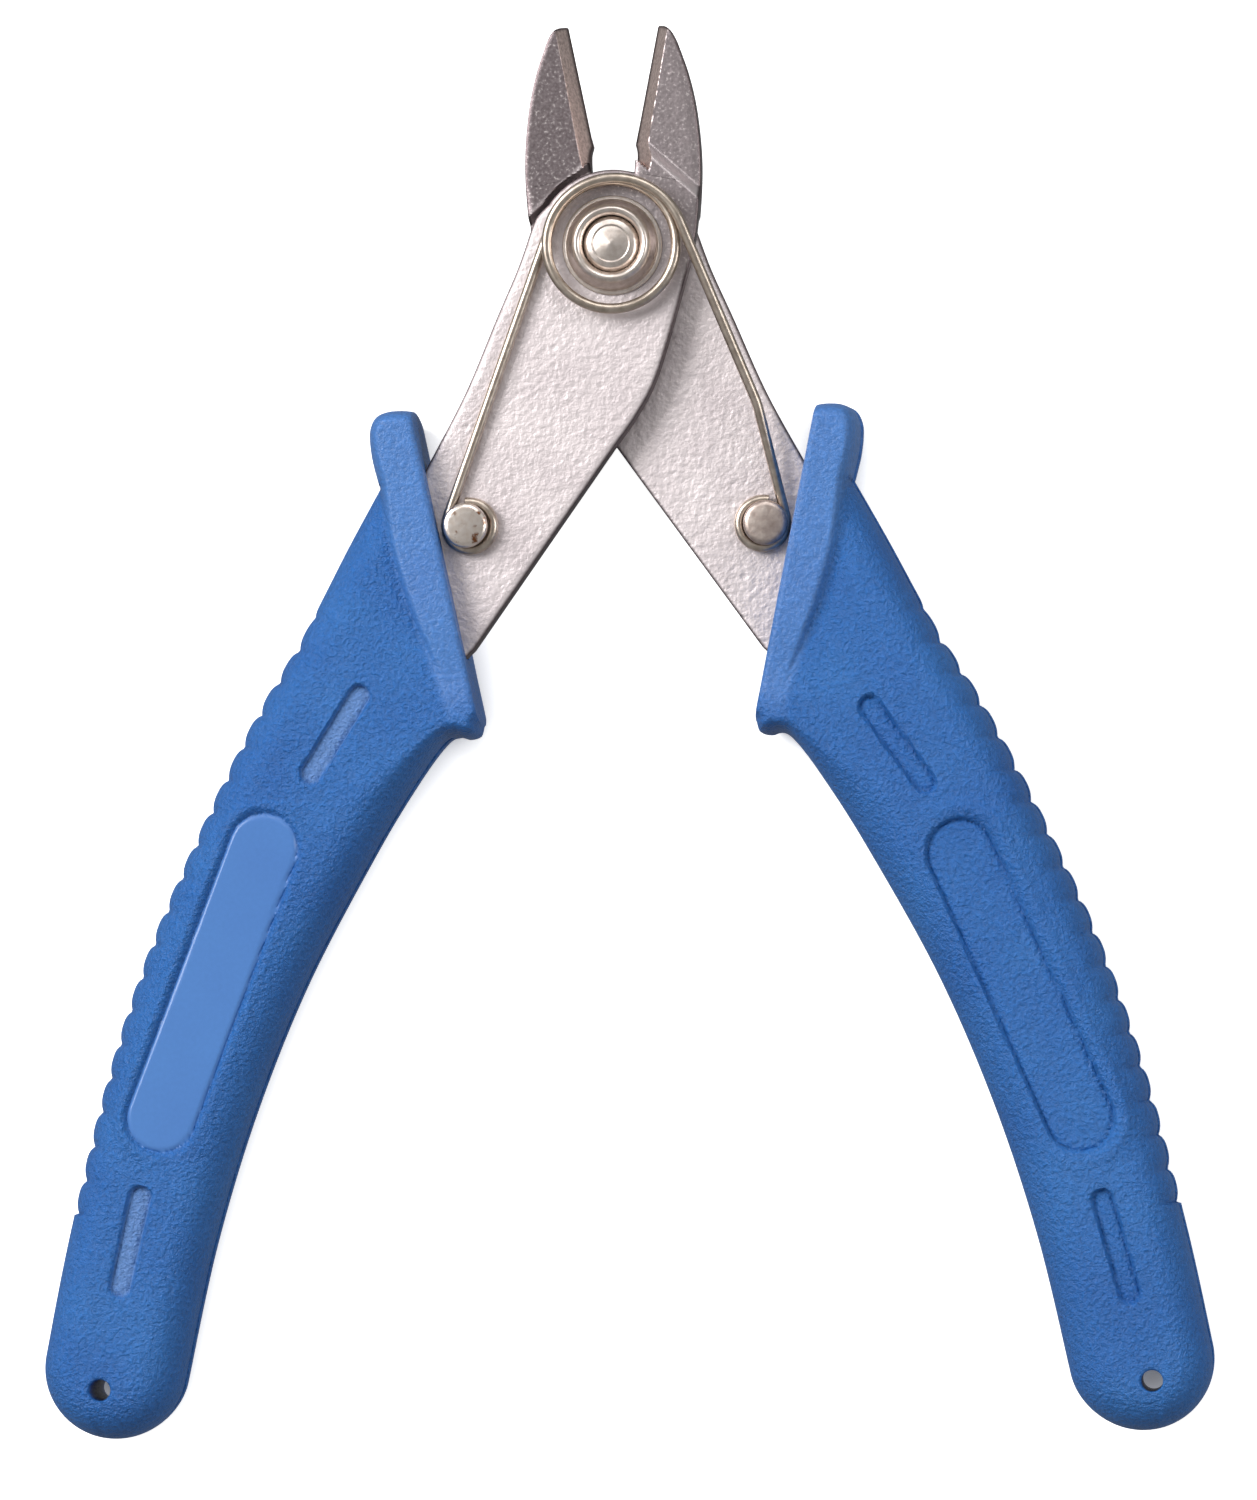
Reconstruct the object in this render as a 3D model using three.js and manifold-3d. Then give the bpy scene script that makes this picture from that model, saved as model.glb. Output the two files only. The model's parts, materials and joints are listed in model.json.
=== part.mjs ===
// Flush cut pliers: two stamped blades crossing at a rivet, a torsion spring that opens them,
// and two moulded grips. Millimetres, +Z up: the pliers lie on their back, jaws towards +Y.
import * as THREE from 'three';
import { mergeVertices } from 'three/addons/utils/BufferGeometryUtils.js';
import Module from 'manifold-3d';

const wasm = await Module();
wasm.setup();

// ---- driving dimensions -------------------------------------------------------------------
const OPEN_HALF_ANGLE = THREE.MathUtils.degToRad(11.25); // each lever's turn from closed, at rest

// blades: a flat plate whose jaw is joggled back to the middle plane
const PLATE_THICKNESS = 2.5;
const PLATE_GAP = 0.2; // between the two plates
const PLATE_TOP = PLATE_GAP / 2 + PLATE_THICKNESS;
const DISC_RADIUS = 6.65; // plate round the rivet
const RECESS_RADIUS = 7.05; // room in a jaw's back for the other blade's disc
const JAW_TIP = 20.0; // from the pivot
const JAW_HALF_THICKNESS = 1.3;
const JAW_THROAT = 9.3; // where the cutting edge starts
const EDGE_CLEARANCE = 0.05; // each edge stays this far from the middle when closed
const JOGGLE_BACK = [6.5, 7.0]; // start and end, along the joggle's normal from the pivot
const JOGGLE_FRONT = [8.05, 9.05];
const JOGGLE_ANGLE = THREE.MathUtils.degToRad(59.4);
const BEVEL_WIDTH = 1.2; // ground face beside the cutting edge, measured on the jaw's face
const BEVEL_END = 7.1; // how near the pivot it is ground
const EDGE_LAND = 0.25; // flat left at the cutting edge, on the flush side
const TANG_END = -85.0;

// rivet and its collar
const RIVET_RADIUS = 2.2;
const RIVET_HOLE_RADIUS = 2.5;
const RIVET_HEAD_RADIUS = 4.2;
const RIVET_HEAD_HEIGHT = 1.0;
const RIVET_TOP = 4.7;
const COLLAR_OUTER_RADIUS = 3.96;
const COLLAR_TOP_RADIUS = 3.3;
const COLLAR_TOP = 4.9;
const SEAT_GAP = 0.1; // between a plate and what sits on it

// spring posts
const POST_AT = new THREE.Vector2(-8.0, -26.4); // on a closed lever, left handle
const POST_RADIUS = 1.15;
const POST_HEAD_RADIUS = 1.95;
const POST_HEAD_BOTTOM = 1.15; // above the plate
const POST_HEAD_HEIGHT = 1.0;

// torsion spring
const WIRE_RADIUS = 0.45;
const COIL_RADIUS = 5.65; // to the wire's centre
const COIL_RELEASE = 6.3; // radius to which the front turn opens before the right leg leaves it
const COIL_OPENS = 1.9; // radians of turn over which it opens
const COIL_PITCH = 1.0;
const COIL_BOTTOM = PLATE_TOP + WIRE_RADIUS + 0.12;
const EYE_RADIUS = 2.1;
const EYE_OFFSET = 0.3; // the eye hangs this far off the post's centre, away from the grip
const LEG_KINK = new THREE.Vector2(12.45, -14.0); // slight bend in the right leg
const RIGHT_EYE_HEIGHT = 0.5;

// grips
const GRIP_HALF_THICKNESS = 5.0;
const GRIP_EDGE_ROUND = 2.25;
const GUARD_HALF_THICKNESS = 5.4;
const GUARD_ROUND = 0.7;
const GRIP_END_CENTRE = new THREE.Vector2(-24.92, -104.1);
const GRIP_END_RADIUS = 6.2;
const LANYARD_AT = new THREE.Vector2(-25.4, -106.05);
const LANYARD_RADIUS = 0.93;
const TANG_CLEARANCE = 0.3;
const SLOT_WIDTH = 1.9;
const SLOT_DEPTH = 0.5;
const PANEL_WIDTH = 6.0;
const PANEL_DEPTH = 0.4;
const NOTCH_COUNT = 19;
const NOTCH_FIRST = -36.5;
const NOTCH_PITCH = 3.06;
const NOTCH_DEPTH = 0.5;
const NOTCH_RADIUS = 1.6;

// ---- helpers ------------------------------------------------------------------------------
const vec = (x, y) => new THREE.Vector2(x, y);
const degrees = THREE.MathUtils.degToRad;

// A closed geometry as a solid that can be joined and cut.
function solid(geometry) {
  const bare = geometry.clone();
  bare.deleteAttribute('normal');
  bare.deleteAttribute('uv');
  const merged = mergeVertices(bare, 1e-4);
  return new wasm.Manifold(new wasm.Mesh({
    numProp: 3,
    vertProperties: merged.attributes.position.array,
    triVerts: new Uint32Array(merged.index.array),
  }));
}

function geometryOf(manifold) {
  const mesh = manifold.getMesh();
  const geometry = new THREE.BufferGeometry();
  geometry.setAttribute('position', new THREE.BufferAttribute(mesh.vertProperties, 3));
  geometry.setIndex(new THREE.BufferAttribute(mesh.triVerts, 1));
  return geometry;
}

// An outline in X and Y, thickened from z0 to z1.
function plate(outline, z0, z1, curveSegments = 3) {
  const settings = { depth: z1 - z0, bevelEnabled: false, curveSegments };
  return new THREE.ExtrudeGeometry(outline, settings).translate(0, 0, z0);
}

// The same with its rims rounded; grow moves the whole wall outwards.
function roundedPlate(outline, halfThickness, round, segments, grow = 0) {
  const geometry = new THREE.ExtrudeGeometry(outline, {
    depth: 2 * (halfThickness - round),
    bevelThickness: round,
    bevelSize: round,
    bevelOffset: grow - round,
    bevelSegments: segments,
    curveSegments: 3,
  });
  return geometry.translate(0, 0, round - halfThickness);
}

// Mirroring turns every face inside out, so two corners of each triangle change places.
function mirroredInZ(geometry) {
  const bare = geometry.clone().scale(1, 1, -1);
  const positions = bare.attributes.position;
  const a = new THREE.Vector3();
  const b = new THREE.Vector3();
  for (let i = 0; i < positions.count; i += 3) {
    a.fromBufferAttribute(positions, i + 1);
    b.fromBufferAttribute(positions, i + 2);
    positions.setXYZ(i + 1, b.x, b.y, b.z);
    positions.setXYZ(i + 2, a.x, a.y, a.z);
  }
  return bare;
}

function cylinder(radius, z0, z1, segments = 24) {
  const geometry = new THREE.CylinderGeometry(radius, radius, z1 - z0, segments);
  return geometry.rotateX(Math.PI / 2).translate(0, 0, (z0 + z1) / 2);
}

// A profile of [radius, height] pairs, from the axis back to it or closed on itself, turned about Z.
function turned(profile, segments = 36) {
  const points = profile.map(([r, z]) => vec(r, z));
  return new THREE.LatheGeometry(points, segments).rotateX(Math.PI / 2);
}

// A straight slot with round ends between two points.
function capsule(a, b, width, z0, z1) {
  const along = b.clone().sub(a);
  const angle = along.angle();
  const outline = new THREE.Shape();
  outline.absarc(b.x, b.y, width / 2, angle - Math.PI / 2, angle + Math.PI / 2, false);
  outline.absarc(a.x, a.y, width / 2, angle + Math.PI / 2, angle + 1.5 * Math.PI, false);
  return plate(outline, z0, z1, 6);
}

// ---- blade --------------------------------------------------------------------------------
// Everything below is drawn on a closed lever, with the pivot at the origin, the handle to the
// left and its jaw to the right. The other lever is the same one turned over about Y.
function bladeOutline() {
  const s = new THREE.Shape();
  s.moveTo(EDGE_CLEARANCE, JAW_TIP - 0.3);
  s.lineTo(EDGE_CLEARANCE, JAW_THROAT);
  s.lineTo(0.6, 7.6);
  s.absarc(0, 0, DISC_RADIUS, degrees(84), degrees(157), false);
  s.lineTo(-7.05, 1.15);
  s.lineTo(-7.3, -0.3);
  s.splineThru([vec(-7.9, -4), vec(-8.8, -8), vec(-10.3, -15), vec(-12.3, -21.6)]);
  s.splineThru([vec(-15.8, -34), vec(-20.6, -52), vec(-24.2, -66), vec(-26.4, -79)]);
  s.lineTo(-27, TANG_END);
  s.lineTo(-21.2, TANG_END);
  s.splineThru([vec(-20.3, -78), vec(-18, -65), vec(-14.4, -53), vec(-9.5, -43), vec(-5.4, -36.8)]);
  s.lineTo(3.4, -17.2);
  s.splineThru([vec(4.84, -14), vec(5.91, -10.25), vec(6.69, -2.6), vec(6.95, 1.5), vec(6.7, 5)]);
  s.splineThru([vec(6.05, 9), vec(4.9, 13), vec(3.6, 16.1), vec(2.1, 18.9)]);
  s.quadraticCurveTo(1.5, 19.95, 0.5, JAW_TIP);
  return s;
}

// The joggle is one side profile, drawn across the bend and swept along it, that the outline cuts.
// It steps at the back nearer the pivot than at the front.
function bladeSideProfile() {
  const far = 120;
  const s = new THREE.Shape();
  s.moveTo(-far, PLATE_GAP / 2);
  s.lineTo(JOGGLE_BACK[0], PLATE_GAP / 2);
  s.lineTo(JOGGLE_BACK[1], -JAW_HALF_THICKNESS);
  s.lineTo(far, -JAW_HALF_THICKNESS);
  s.lineTo(far, JAW_HALF_THICKNESS);
  s.lineTo(JOGGLE_FRONT[1], JAW_HALF_THICKNESS);
  s.lineTo(JOGGLE_FRONT[0], PLATE_TOP);
  s.lineTo(-far, PLATE_TOP);
  const geometry = new THREE.ExtrudeGeometry(s, { depth: 2 * far, bevelEnabled: false });
  // profile x runs along the joggle's normal, profile y is height, the sweep runs along the bend
  geometry.translate(0, 0, -far).rotateX(Math.PI / 2).rotateZ(JOGGLE_ANGLE);
  return geometry;
}

// The ground face: it falls from one side of the jaw to the flush side, where the edge cuts.
// Both jaws are ground on the front of the pliers, which is the back of the turned-over blade.
function edgeGrinding(turnedOver) {
  const low = EDGE_LAND - JAW_HALF_THICKNESS;
  const high = PLATE_TOP + 0.2;
  const slope = (JAW_HALF_THICKNESS - low) / (BEVEL_WIDTH - EDGE_CLEARANCE);
  const s = new THREE.Shape();
  s.moveTo(EDGE_CLEARANCE, low);
  s.lineTo(EDGE_CLEARANCE + (high - low) / slope, high);
  s.lineTo(-2, high);
  s.lineTo(-2, low);
  const length = JAW_TIP - BEVEL_END + 1;
  const geometry = new THREE.ExtrudeGeometry(s, { depth: length, bevelEnabled: false });
  geometry.rotateX(Math.PI / 2).translate(0, BEVEL_END + length, 0);
  return turnedOver ? mirroredInZ(geometry) : geometry;
}

function bladeGeometry(turnedOver) {
  const blank = solid(plate(bladeOutline(), -JAW_HALF_THICKNESS - 1, PLATE_TOP + 1));
  const joggled = blank.intersect(solid(bladeSideProfile()));
  const recess = cylinder(RECESS_RADIUS, -JAW_HALF_THICKNESS - 1, PLATE_GAP / 2, 48);
  const shaped = joggled.subtract(solid(recess));
  const ground = shaped.subtract(solid(edgeGrinding(turnedOver)));
  const bored = ground.subtract(solid(cylinder(RIVET_HOLE_RADIUS, -1, PLATE_TOP + 1, 32)));
  const postHole = cylinder(POST_RADIUS + TANG_CLEARANCE, -1, PLATE_TOP + 1, 20);
  return geometryOf(bored.subtract(solid(postHole.translate(POST_AT.x, POST_AT.y, 0))));
}

// ---- grip ---------------------------------------------------------------------------------
const OUTER_EDGE = [vec(-31.1, -101), vec(-31.05, -94), vec(-30.4, -80), vec(-28.9, -68), vec(-26.2, -56),
  vec(-23.4, -46), vec(-20.4, -38), vec(-17.8, -29)];

function gripOutline() {
  const s = new THREE.Shape();
  s.moveTo(-16.3, -25.2);
  s.lineTo(-13.2, -25.8);
  s.lineTo(-6.0, -42.0);
  s.splineThru([vec(-7.1, -46), vec(-10.95, -56), vec(-14.7, -68), vec(-17.1, -80), vec(-18.4, -92)]);
  s.absarc(GRIP_END_CENTRE.x, GRIP_END_CENTRE.y, GRIP_END_RADIUS, 0, -Math.PI, true);
  s.splineThru(OUTER_EDGE);
  return s;
}

// The finger guard: a thicker slanting band round the mouth of the grip.
function guardOutline() {
  const s = new THREE.Shape();
  s.moveTo(-14.6, -17.2);
  s.lineTo(-3.6, -43.2);
  s.quadraticCurveTo(-4.2, -44.5, -5.8, -44.5);
  s.lineTo(-6.9, -41.2);
  s.splineThru([vec(-8.8, -37.8), vec(-13.1, -30.4), vec(-17, -22.4)]);
  s.lineTo(-18, -19.8);
  s.quadraticCurveTo(-18.1, -18.2, -16.6, -17.6);
  s.lineTo(-14.6, -17.2);
  return s;
}

// The blade's tang with clearance all round, and its way out through the mouth.
function tangCavity() {
  const half = PLATE_THICKNESS / 2 + TANG_CLEARANCE;
  const middle = (PLATE_GAP / 2 + PLATE_TOP) / 2;
  const s = new THREE.Shape();
  s.moveTo(-12.3, -14);
  s.splineThru([vec(-12.3, -21.6), vec(-15.8, -34), vec(-20.6, -52), vec(-24.2, -66), vec(-26.4, -79)]);
  s.lineTo(-27, TANG_END);
  s.lineTo(-21.2, TANG_END);
  s.splineThru([vec(-20.3, -78), vec(-18, -65), vec(-14.4, -53), vec(-9.5, -43), vec(-5.4, -36.8)]);
  s.lineTo(-1, -27);
  return roundedPlate(s, half, 0.2, 1, TANG_CLEARANCE).translate(0, 0, middle);
}

// Rounded notches along the outer edge, evenly spaced along the handle.
function edgeNotches() {
  const edge = new THREE.SplineCurve(OUTER_EDGE);
  const samples = edge.getPoints(200);
  const cuts = [];
  for (let i = 0; i < NOTCH_COUNT; i++) {
    const y = NOTCH_FIRST - i * NOTCH_PITCH;
    const k = samples.findIndex((p) => p.y > y);
    const along = samples[k].clone().sub(samples[k - 1]).normalize();
    const outwards = vec(-along.y, along.x);
    const centre = samples[k].clone().addScaledVector(outwards, NOTCH_RADIUS - NOTCH_DEPTH);
    const cut = cylinder(NOTCH_RADIUS, -GRIP_HALF_THICKNESS - 1, GRIP_HALF_THICKNESS + 1, 12);
    cuts.push(solid(cut.translate(centre.x, centre.y, 0)));
  }
  return cuts;
}

// Two blind slots and a sunk label panel on each face, as the centres of their round ends. On a
// grip's second face they sit a little nearer the end.
const FACES = [
  {
    side: 1,
    slots: [[vec(-14.32, -42.7), vec(-17.18, -50.0)], [vec(-25.02, -88.95), vec(-25.29, -96.85)]],
    panel: [vec(-20.1, -57.2), vec(-24.5, -81.8)],
  },
  {
    side: -1,
    slots: [[vec(-13.87, -44.15), vec(-17.2, -51.55)], [vec(-24.69, -90.0), vec(-25.29, -98.2)]],
    panel: [vec(-18.95, -58.2), vec(-24.25, -82.6)],
  },
];

function gripGeometry() {
  const body = solid(roundedPlate(gripOutline(), GRIP_HALF_THICKNESS, GRIP_EDGE_ROUND, 3));
  let grip = body.add(solid(roundedPlate(guardOutline(), GUARD_HALF_THICKNESS, GUARD_ROUND, 2)));
  const bore = cylinder(LANYARD_RADIUS, -GRIP_HALF_THICKNESS - 1, GRIP_HALF_THICKNESS + 1, 20);
  const cuts = edgeNotches();
  cuts.push(solid(tangCavity()));
  cuts.push(solid(bore.translate(LANYARD_AT.x, LANYARD_AT.y, 0)));
  for (const { side, slots, panel } of FACES) {
    const surface = side * GRIP_HALF_THICKNESS;
    const span = (depth) => [surface - side * depth, surface + side].sort((a, b) => a - b);
    for (const ends of slots) cuts.push(solid(capsule(...ends, SLOT_WIDTH, ...span(SLOT_DEPTH))));
    cuts.push(solid(capsule(...panel, PANEL_WIDTH, ...span(PANEL_DEPTH))));
  }
  for (const cut of cuts) grip = grip.subtract(cut);
  return geometryOf(grip);
}

// ---- rivet, collar and posts --------------------------------------------------------------
function rivetGeometry() {
  const headTop = -PLATE_TOP - SEAT_GAP;
  const headBottom = headTop - RIVET_HEAD_HEIGHT;
  return turned([[0, headBottom], [RIVET_HEAD_RADIUS - 0.5, headBottom],
    [RIVET_HEAD_RADIUS, headBottom + 0.4], [RIVET_HEAD_RADIUS, headTop], [RIVET_RADIUS, headTop],
    [RIVET_RADIUS, RIVET_TOP - 0.3], [RIVET_RADIUS - 0.25, RIVET_TOP - 0.1],
    [RIVET_RADIUS - 0.6, RIVET_TOP - 0.1], [0, RIVET_TOP + 0.15]]);
}

function collarGeometry() {
  const seat = PLATE_TOP + SEAT_GAP;
  return turned([[RIVET_HOLE_RADIUS, seat], [COLLAR_OUTER_RADIUS, seat], [COLLAR_OUTER_RADIUS, seat + 0.5],
    [COLLAR_TOP_RADIUS, COLLAR_TOP - 0.15], [COLLAR_TOP_RADIUS - 0.15, COLLAR_TOP],
    [RIVET_HOLE_RADIUS + 0.15, COLLAR_TOP], [RIVET_HOLE_RADIUS, COLLAR_TOP - 0.15],
    [RIVET_HOLE_RADIUS, seat]]);
}

// A post stands on a blade whose front face is at plateTop and is closed over at the back.
function postGeometry(plateTop) {
  const bottom = plateTop - PLATE_THICKNESS + 0.1;
  const head = plateTop + POST_HEAD_BOTTOM;
  const top = head + POST_HEAD_HEIGHT;
  return turned([[0, bottom], [POST_RADIUS, bottom], [POST_RADIUS, head], [POST_HEAD_RADIUS, head],
    [POST_HEAD_RADIUS, top - 0.35], [POST_HEAD_RADIUS - 0.35, top - 0.05], [0, top]], 24);
}

// ---- torsion spring -----------------------------------------------------------------------
// Drawn at rest. The left eye, the left leg, the coil from its back turn to its front turn, the
// right leg with its kink, and the right eye.
const polar = (centre, radius, angle) =>
  vec(centre.x + radius * Math.cos(angle), centre.y + radius * Math.sin(angle));

// The angle, seen from both centres, at which a line touches both circles on the same side.
function sharedTangent(c1, r1, c2, r2, side) {
  const between = c2.clone().sub(c1);
  const angle = between.angle() + side * Math.acos((r1 - r2) / between.length());
  return THREE.MathUtils.euclideanModulo(angle, 2 * Math.PI);
}

// A turn of wire. Its radius may change on the way, and its height changes evenly.
function arcPoints(centre, [r0, r1], [from, to], [z0, z1], step = 0.3) {
  const count = Math.ceil(Math.abs(to - from) / step);
  return Array.from({ length: count + 1 }, (_, i) => {
    const t = i / count;
    const p = polar(centre, r0 + (r1 - r0) * t * t, from + (to - from) * t);
    return new THREE.Vector3(p.x, p.y, z0 + (z1 - z0) * t);
  });
}

function springGeometry() {
  const origin = vec(0, 0);
  const leftPost = POST_AT.clone().rotateAround(origin, -OPEN_HALF_ANGLE);
  const leftEye = leftPost.clone().add(vec(EYE_OFFSET, 0));
  const rightEye = vec(-leftPost.x - EYE_OFFSET, leftPost.y);

  const leftTouch = sharedTangent(origin, COIL_RADIUS, leftEye, EYE_RADIUS, -1);
  const rightEyeTouch = sharedTangent(LEG_KINK, 0, rightEye, EYE_RADIUS, 1);
  const rightTouch = sharedTangent(origin, COIL_RELEASE, LEG_KINK, 0, 1);
  const coilTop = COIL_BOTTOM + COIL_PITCH * (leftTouch - rightTouch + 2 * Math.PI) / (2 * Math.PI);

  const leftEyeEnd = leftTouch + degrees(300);
  const rightEyeEnd = rightEyeTouch - degrees(298);
  const turnsEnd = rightTouch - 2 * Math.PI;
  const opensAt = turnsEnd + COIL_OPENS;
  const opensHeight = coilTop - COIL_PITCH * COIL_OPENS / (2 * Math.PI);
  const kinkHeight = (coilTop + RIGHT_EYE_HEIGHT) / 2;
  const coil = [COIL_RADIUS, COIL_RADIUS];
  const eye = [EYE_RADIUS, EYE_RADIUS];
  const points = [
    ...arcPoints(leftEye, eye, [leftEyeEnd, leftTouch], [COIL_BOTTOM, COIL_BOTTOM]),
    ...arcPoints(origin, coil, [leftTouch, opensAt], [COIL_BOTTOM, opensHeight]),
    ...arcPoints(origin, [COIL_RADIUS, COIL_RELEASE], [opensAt, turnsEnd], [opensHeight, coilTop]).slice(1),
    new THREE.Vector3(LEG_KINK.x, LEG_KINK.y, kinkHeight),
    ...arcPoints(rightEye, eye, [rightEyeTouch, rightEyeEnd], [RIGHT_EYE_HEIGHT, RIGHT_EYE_HEIGHT]),
  ];
  const path = new THREE.CatmullRomCurve3(points, false, 'centripetal');
  const section = new THREE.Shape().absarc(0, 0, WIRE_RADIUS, 0, 2 * Math.PI, false);
  return new THREE.ExtrudeGeometry(section, { steps: 170, extrudePath: path, curveSegments: 4 });
}

// ---- materials and assembly ---------------------------------------------------------------
const material = (color, roughness, metalness) =>
  new THREE.MeshStandardMaterial({ color, roughness, metalness });

const bladeSteel = material(0xc9c2c1, 0.42, 0.9);
const rivetSteel = material(0xd6cec4, 0.3, 0.9);
const postSteel = material(0xb4a199, 0.45, 0.9);
const springWire = material(0xc8b9aa, 0.25, 0.95);
const gripPlastic = material(0x4d84c4, 0.5, 0.0);

function named(name, geometry, itsMaterial) {
  const mesh = new THREE.Mesh(geometry, itsMaterial);
  mesh.name = name;
  return mesh;
}

// A lever is a blade with its grip and its post. The rear one is turned over about Y, which puts
// its handle to the right, its jaw to the left and its plate behind.
function lever(names, turnedOver) {
  const group = new THREE.Group();
  group.add(named(names.blade, bladeGeometry(turnedOver), bladeSteel));
  group.add(named(names.grip, gripGeometry(), gripPlastic));
  if (turnedOver) group.rotation.y = Math.PI;
  const turn = new THREE.Group();
  turn.rotation.z = turnedOver ? OPEN_HALF_ANGLE : -OPEN_HALF_ANGLE;
  const post = named(names.post, postGeometry(turnedOver ? -PLATE_GAP / 2 : PLATE_TOP), postSteel);
  post.position.set(turnedOver ? -POST_AT.x : POST_AT.x, POST_AT.y, 0);
  turn.add(group, post);
  return turn;
}

const pliers = new THREE.Group();
pliers.add(lever({ blade: 'front_blade', grip: 'left_grip', post: 'left_spring_post' }, false));
pliers.add(lever({ blade: 'rear_blade', grip: 'right_grip', post: 'right_spring_post' }, true));
pliers.add(named('pivot_rivet', rivetGeometry(), rivetSteel));
pliers.add(named('pivot_collar', collarGeometry(), rivetSteel));
pliers.add(named('torsion_spring', springGeometry(), springWire));

// The part's origin is the middle of the surface it lies on.
const box = new THREE.Box3().setFromObject(pliers, true);
const middle = box.getCenter(new THREE.Vector3());
pliers.position.set(-middle.x, -middle.y, -box.min.z);
const part = new THREE.Group();
part.add(pliers);

export default part;
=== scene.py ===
# %% [markdown]
# # Flush cut pliers
# This lesson builds the looks of a small pair of flush cut pliers around a CAD frame that already
# holds its sizes and its one hinge. Every visible piece is a surface worked out with numpy: a sheet
# of points on two parameters, bent into the piece's shape, and closed. The blades are stamped
# stainless steel, the grips are moulded plastic, and a wire spring holds the handles apart.

# %% Load the frame
import json
import math

import bmesh
import bpy
import numpy as np
from mathutils import Matrix, Vector


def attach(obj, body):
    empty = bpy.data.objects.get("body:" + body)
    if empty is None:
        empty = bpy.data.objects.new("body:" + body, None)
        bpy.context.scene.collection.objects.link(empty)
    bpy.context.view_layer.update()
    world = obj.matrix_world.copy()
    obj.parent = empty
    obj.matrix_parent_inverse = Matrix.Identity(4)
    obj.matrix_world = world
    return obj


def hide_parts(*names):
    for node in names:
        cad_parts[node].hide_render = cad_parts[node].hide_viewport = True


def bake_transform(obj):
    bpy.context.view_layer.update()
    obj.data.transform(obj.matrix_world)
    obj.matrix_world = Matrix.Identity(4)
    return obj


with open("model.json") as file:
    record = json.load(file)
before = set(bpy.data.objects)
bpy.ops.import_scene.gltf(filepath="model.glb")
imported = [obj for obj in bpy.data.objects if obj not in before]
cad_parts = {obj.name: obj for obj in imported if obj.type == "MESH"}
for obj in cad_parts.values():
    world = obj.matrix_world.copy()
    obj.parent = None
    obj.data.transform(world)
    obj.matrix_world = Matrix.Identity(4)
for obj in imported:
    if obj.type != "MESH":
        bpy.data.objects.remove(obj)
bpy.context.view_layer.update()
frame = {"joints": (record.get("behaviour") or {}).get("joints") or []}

MM = 0.001
hinge = frame["joints"][0]
PIVOT = np.array(hinge["pos_m"]) / MM
HALF_OPEN = math.radians(hinge["range_deg"][1] / 2)
print("pivot at", PIVOT, "mm, each lever opens", round(math.degrees(HALF_OPEN), 2), "degrees")

# %% [markdown]
# ## Drawing on a closed lever
# A lever is half of the pliers: blade, grip and post. Both levers are nearly the same, so one is
# drawn with the pliers closed, its pivot at the origin, its handle down to the left and its jaw to
# the right, in millimetres. The front lever is that drawing turned open. The rear lever is the same
# drawing turned over about its long axis first, so that its handle points the other way.

# %% From a closed lever to where it lies
def placed(points, lever):
    """Turns a drawing over for the rear lever, opens it by half the hinge's range, moves the pivot
    to its place and changes millimetres to metres."""
    side = -1.0 if lever == "rear" else 1.0
    x, y, z = points[..., 0] * side, points[..., 1], points[..., 2] * side
    turn = -HALF_OPEN * side
    turned = np.stack([x * math.cos(turn) - y * math.sin(turn),
                       x * math.sin(turn) + y * math.cos(turn), z], axis=-1)
    return (turned + PIVOT) * MM


# %% Curves through a few points
def spline(points, steps=24):
    """A uniform Catmull-Rom curve: between two points it is the cubic whose slope at each is half
    the chord between that point's neighbours, worked out for all spans at once."""
    p = np.asarray(points, float)
    before, after = np.vstack([p[:1], p[:-2]]), np.vstack([p[2:], p[-1:]])
    a, b = p[:-1], p[1:]
    t = (np.arange(steps) / steps)[None, :, None]
    va, vb = ((b - before) / 2)[:, None], ((after - a) / 2)[:, None]
    a, b = a[:, None], b[:, None]
    curve = (2 * a - 2 * b + va + vb) * t**3 + (3 * b - 3 * a - 2 * va - vb) * t**2 + va * t + a
    return np.vstack([curve.reshape(-1, 2), p[-1:]])


def arc(centre, radius, start, end, steps=48):
    """Points on a circle from one angle to another, in degrees."""
    angle = np.radians(np.linspace(start, end, steps + 1))
    return np.stack([centre[0] + radius * np.cos(angle), centre[1] + radius * np.sin(angle)], -1)


def joined(*parts):
    """Several runs of points as one, without the points that repeat."""
    line = np.vstack([np.asarray(part, float) for part in parts])
    keep = np.r_[True, np.hypot(*np.diff(line, axis=0).T) > 1e-6]
    return line[keep]


def lengths(line):
    """Distance walked along a line at each of its points."""
    return np.r_[0, np.cumsum(np.hypot(*np.diff(line, axis=0).T))]


def at_length(line, walked):
    """The points of a line after so many millimetres."""
    s = lengths(line)
    return np.stack([np.interp(walked, s, line[:, 0]), np.interp(walked, s, line[:, 1])], -1)


def distance_to(points, line):
    """Shortest distance from each point to a polyline: each point is dropped on every segment,
    kept between the segment's ends, and the nearest foot wins."""
    flat = points.reshape(-1, 2)
    best = np.full(len(flat), np.inf)
    for a, b in zip(line[:-1], line[1:]):
        along = b - a
        t = np.clip(((flat - a) @ along) / (along @ along), 0, 1)
        foot = flat - a - t[:, None] * along
        best = np.minimum(best, np.einsum("ij,ij->i", foot, foot))
    return np.sqrt(best).reshape(points.shape[:-1])


def smoothstep(low, high, x):
    """0 below low, 1 above high, and an S between them."""
    t = np.clip((x - low) / (high - low), 0, 1)
    return t * t * (3 - 2 * t)


def rounded_rise(e, power):
    """0 at an edge, 1 from e = 1 on, rising along a superellipse, so the wall starts upright."""
    e = np.clip(e, 0, 1)
    return (1 - (1 - e) ** power) ** (1 / power)


def raised(plan, height):
    """Points of a plan, each with its height."""
    return np.concatenate([plan, height[..., None]], -1)


def there_and_back(over, under):
    """Rings that cross over the top and come back underneath."""
    return np.concatenate([over, under[:, ::-1]], 1)


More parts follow.
